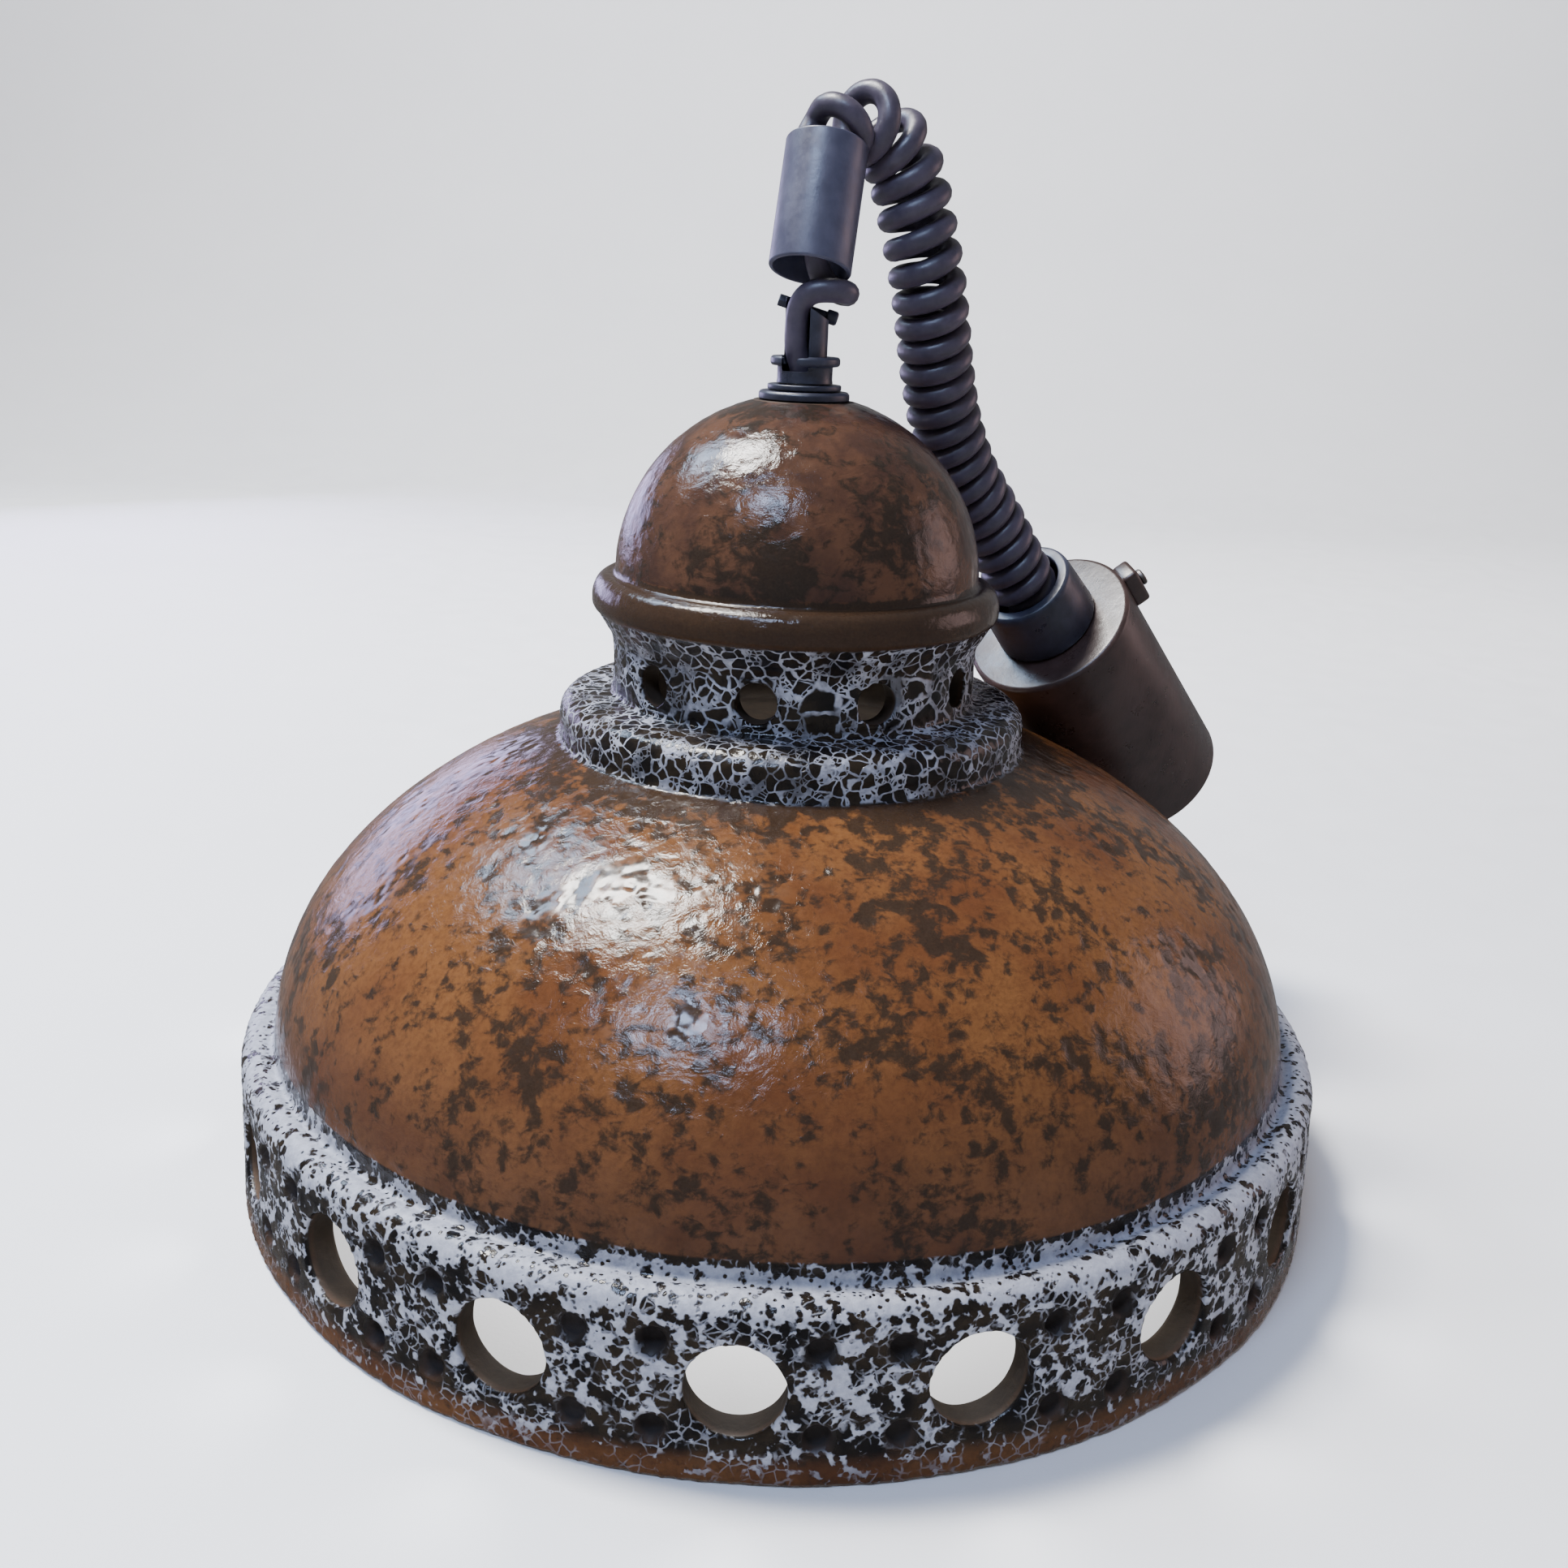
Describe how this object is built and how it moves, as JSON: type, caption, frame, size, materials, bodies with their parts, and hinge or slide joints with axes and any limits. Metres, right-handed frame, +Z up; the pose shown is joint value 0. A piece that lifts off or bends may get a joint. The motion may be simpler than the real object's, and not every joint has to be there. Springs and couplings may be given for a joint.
{
  "type": "ceramic pendant lamp",
  "caption": "Domed glazed ceramic pendant lamp shade standing on its pierced rim, with neck vents, top cord grip, cord sleeve, curly cord and cylindrical ceiling canopy.",
  "frame": {"origin": "centre of the shade's open rim, on the surface that it stands on", "axes": "+Z up along the shade's axis to the cord; +X to the right and -Y towards the viewer; the canopy lies at +X +Y"},
  "size_m": [0.323, 0.323, 0.3085],
  "materials": {
    "glaze": "thick glossy mottled caramel and brown-black glaze, white foamy cell glaze on the rim and neck",
    "black_plastic": "moulded black, satin",
    "phenolic": "dark phenolic resin",
    "ceramic": "plain porcelain",
    "brass": "plain, slightly dulled",
    "steel": "zinc plated",
    "fibre": "vulcanised fibre",
    "sleeve": "dark grey-brown, satin",
    "cord": "smooth PVC sheath, dark brown-black, semi gloss",
    "brown_plastic": "dark brown moulding, satin",
    "nylon": "natural nylon",
    "wire_brown": "PVC insulation",
    "wire_blue": "PVC insulation"
  },
  "bodies": {
    "lamp": {"shade_body": "glaze", "cap_base_disc": "black_plastic", "cap_step_disc": "black_plastic", "cord_grip": "black_plastic", "grip_nut": "black_plastic", "canopy_collar": "black_plastic", "collar_spigot": "black_plastic", "collar_nut": "black_plastic", "holder_cap": "phenolic", "lock_nut": "brass", "hook_nut": "brass", "block_screw_1": "brass", "block_screw_2": "brass", "block_screw_3": "brass", "nipple": "steel", "inner_disc": "steel", "mounting_strap": "steel", "clamp_screw_1": "steel", "clamp_screw_2": "steel", "cord_start": "cord", "cord_arch": "cord", "cord_coil": "cord", "cord_tail": "cord", "canopy_cup": "brown_plastic", "clamp_half_fixed": "nylon", "clamp_half_screwed": "nylon", "terminal_block": "nylon", "wire_live": "wire_brown", "wire_neutral": "wire_blue"},
    "insert": {"holder_insert": "ceramic", "screw_shell": "brass", "centre_contact": "brass", "terminal_screw_live": "brass", "terminal_screw_neutral": "brass"},
    "skirt": {"holder_skirt": "phenolic"},
    "washer": {"collar_washer": "fibre"},
    "collar": {"clamp_collar": "phenolic"},
    "grip_screw": {"grip_screw": "black_plastic"},
    "sleeve": {"cord_sleeve": "sleeve"},
    "hook": {"suspension_hook": "steel"},
    "canopy_screw": {"canopy_screw": "steel"}
  },
  "joints": [
    {"name": "insert_travel", "type": "slide", "parent": "lamp", "child": "insert", "axis": [0, 0, -1], "range_m": [0, 0.00605]},
    {"name": "skirt_turn", "type": "hinge", "parent": "insert", "child": "skirt", "pos_m": [0, 0, 0.17], "axis": [0, 0, 1], "range_deg": [0, 720]},
    {"name": "washer_travel", "type": "slide", "parent": "skirt", "child": "washer", "axis": [0, 0, -1], "range_m": [0, 0.00505]},
    {"name": "collar_turn", "type": "hinge", "parent": "washer", "child": "collar", "pos_m": [0, 0, 0.17], "axis": [0, 0, 1], "range_deg": [0, 720]},
    {"name": "grip_screw_turn", "type": "hinge", "parent": "lamp", "child": "grip_screw", "pos_m": [0, 0.0041, 0.25062], "axis": [0.9613, 0, -0.2756], "range_deg": [0, 720]},
    {"name": "sleeve_slide", "type": "slide", "parent": "lamp", "child": "sleeve", "axis": [0.0999, 0.3296, 0.9388], "range_m": [0, 0.004]},
    {"name": "hook_turn", "type": "hinge", "parent": "lamp", "child": "hook", "pos_m": [0.12748, 0.11152, 0.09531], "axis": [-0.5261, -0.474, 0.7061], "range_deg": [-180, 180]},
    {"name": "canopy_screw_turn", "type": "hinge", "parent": "lamp", "child": "canopy_screw", "pos_m": [0.11208, 0.07895, 0.16394], "axis": [0.7829, 0.0544, 0.6198], "range_deg": [0, 360]}
  ],
  "couplings": [
    {"joint": "insert_travel", "follows": "skirt_turn", "m_per_rad": 0.00047746},
    {"joint": "washer_travel", "follows": "collar_turn", "m_per_rad": 0.00039789}
  ]
}
